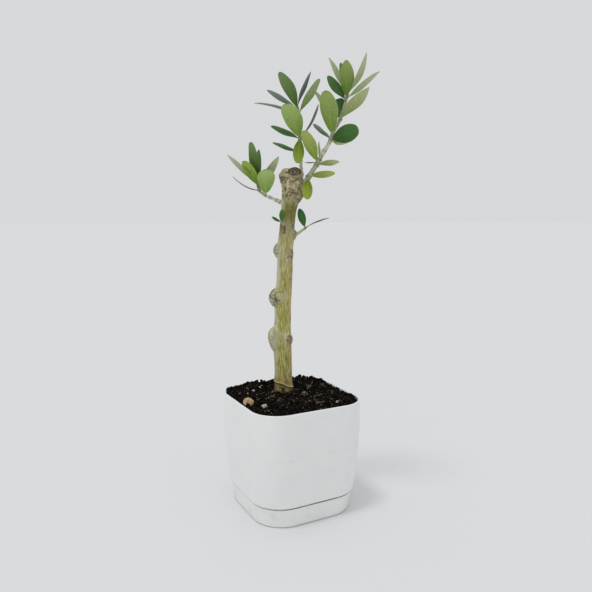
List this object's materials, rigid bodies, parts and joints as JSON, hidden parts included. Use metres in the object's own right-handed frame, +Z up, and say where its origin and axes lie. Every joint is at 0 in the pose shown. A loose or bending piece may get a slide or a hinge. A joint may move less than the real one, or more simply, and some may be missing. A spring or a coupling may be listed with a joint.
{
  "type": "potted olive tree",
  "caption": "Young cut-back olive tree with leafy boughs and trunk sprouts, in a square white plastic pot with its own tray; it stands on the tray's flat underside.",
  "frame": {"origin": "middle of the tray's flat underside, which the whole thing stands on", "axes": "+Z up along the trunk; +X and +Y square to the pot's sides. The tree spreads along a line turned 27.4 degrees clockwise, seen from above, from +X."},
  "size_m": [0.1299, 0.1054, 0.4005],
  "materials": {
    "pot_plastic": "glossy moulded white plastic with faint scuffs",
    "potting_mix": "damp dark peat crumbs with white perlite grains",
    "bark": "olive-tan bark with fine lengthwise cracks and rough scars",
    "foliage": "leathery leaves, dark and glossy above, pale and matt below"
  },
  "bodies": {
    "root": {"tray": "pot_plastic", "pot": "pot_plastic", "soil": "potting_mix", "trunk": "bark", "left_bough": "bark", "centre_bough": "bark", "right_bough": "bark", "right_upper_bough": "bark", "left_spray": "foliage", "centre_lower_spray": "foliage", "centre_top_spray": "foliage", "right_lower_spray": "foliage", "right_middle_spray": "foliage", "right_top_spray": "foliage", "left_sprout": "foliage", "right_sprout": "foliage"}
  },
  "joints": []
}
